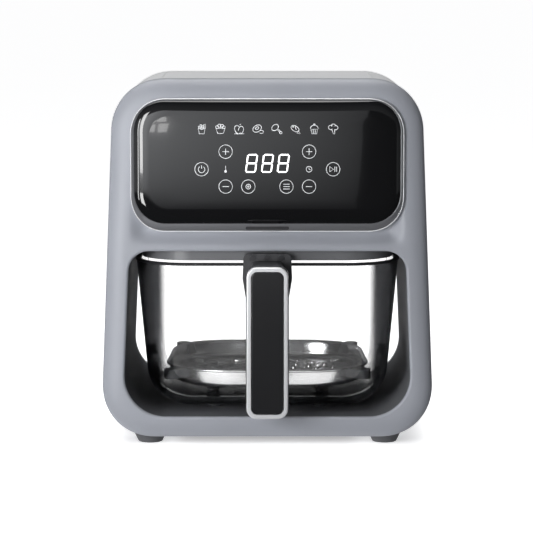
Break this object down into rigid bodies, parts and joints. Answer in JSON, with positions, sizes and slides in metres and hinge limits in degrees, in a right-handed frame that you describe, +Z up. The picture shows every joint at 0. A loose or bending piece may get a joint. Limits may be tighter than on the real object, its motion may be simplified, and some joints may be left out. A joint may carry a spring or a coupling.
{
  "type": "air fryer",
  "caption": "Countertop air fryer: tunnel-shaped body with a touch panel over a slide-out glass basket with a front handle and a lift-out steel crisper tray.",
  "frame": {"origin": "on the table under the middle of the object's box, handle included", "axes": "+Z up, -Y towards the front with the handle and panel, +X to the viewer's right"},
  "size_m": [0.3068, 0.309, 0.3426],
  "materials": {
    "housing_grey": "satin paint over moulded plastic, cool grey",
    "cover_grey": "satin, pale grey",
    "liner_grey": "satin, dark grey",
    "dark_plastic": "fine-textured black",
    "panel_black": "polished black lens",
    "display_black": "dark filter",
    "chrome_trim": "plated, polished",
    "handle_black": "satin black",
    "insert_black": "polished black",
    "clear_glass": "clear borosilicate",
    "steel": "stainless sheet",
    "screw_steel": "zinc plated",
    "spring_steel": "plated spring wire",
    "element_steel": "oxidised sheath",
    "aluminised_sheet": "aluminised sheet",
    "mineral_wool": "felted fibre",
    "motor_iron": "laminated",
    "copper_coil": "enamelled copper wire",
    "bronze_bush": "sintered bronze",
    "board_green": "circuit board",
    "switch_white": "moulded white",
    "silicone_black": "silicone",
    "foot_rubber": "matte rubber"
  },
  "bodies": {
    "housing": {"base_cover": "dark_plastic", "basket_rest_pads": "silicone_black", "basket_switch": "dark_plastic", "control_board": "board_green", "control_panel": "panel_black", "cord_gland": "dark_plastic", "digit_display": "display_black", "exhaust_duct": "dark_plastic", "foot_front_left": "foot_rubber", "foot_front_right": "foot_rubber", "foot_rear_left": "foot_rubber", "foot_rear_right": "foot_rubber", "foot_screws": "screw_steel", "front_housing": "housing_grey", "head_skirt": "liner_grey", "heat_reflector": "aluminised_sheet", "heat_shield": "aluminised_sheet", "heating_element": "element_steel", "housing_screws": "screw_steel", "indicator_window": "panel_black", "insulation_blanket": "mineral_wool", "main_housing": "cover_grey", "mesh_guard": "steel", "motor_bracket": "steel", "motor_screws": "screw_steel", "motor_stator": "motor_iron", "motor_winding": "copper_coil", "panel_trim": "chrome_trim", "power_board": "board_green", "rear_cover": "cover_grey", "shaft_bushes": "bronze_bush", "switch_guide": "dark_plastic", "temperature_sensor": "steel", "thermal_cutoff": "aluminised_sheet", "top_cover": "cover_grey", "touch_springs": "spring_steel", "tunnel_liner": "liner_grey", "upper_bracket": "steel"},
    "basket": {"glass_vessel": "clear_glass", "rim_band": "dark_plastic", "handle_bracket": "handle_black", "handle_grip": "handle_black", "handle_frame": "chrome_trim", "handle_insert": "insert_black", "handle_screws": "screw_steel"},
    "tray": {"crisper_tray": "steel", "tray_feet": "silicone_black", "tray_bumpers": "silicone_black"},
    "rotor": {"motor_shaft": "steel", "hot_air_fan": "aluminised_sheet", "cooling_fan": "dark_plastic", "fan_nut": "screw_steel", "motor_rotor": "motor_iron"},
    "plunger": {"switch_plunger": "switch_white"}
  },
  "joints": [
    {"name": "basket_slide", "type": "slide", "parent": "housing", "child": "basket", "axis": [0, 1, 0], "range_m": [-0.27, 0]},
    {"name": "tray_lift", "type": "slide", "parent": "basket", "child": "tray", "axis": [0, 0, 1], "range_m": [0, 0.09]},
    {"name": "fan_spin", "type": "hinge", "parent": "housing", "child": "rotor", "pos_m": [0, 0.0225, 0.25], "axis": [0, 0, 1], "continuous": true},
    {"name": "switch_press", "type": "slide", "parent": "housing", "child": "plunger", "axis": [0, 1, 0], "range_m": [0, 0.0015], "stiffness_N_per_m": 200}
  ]
}
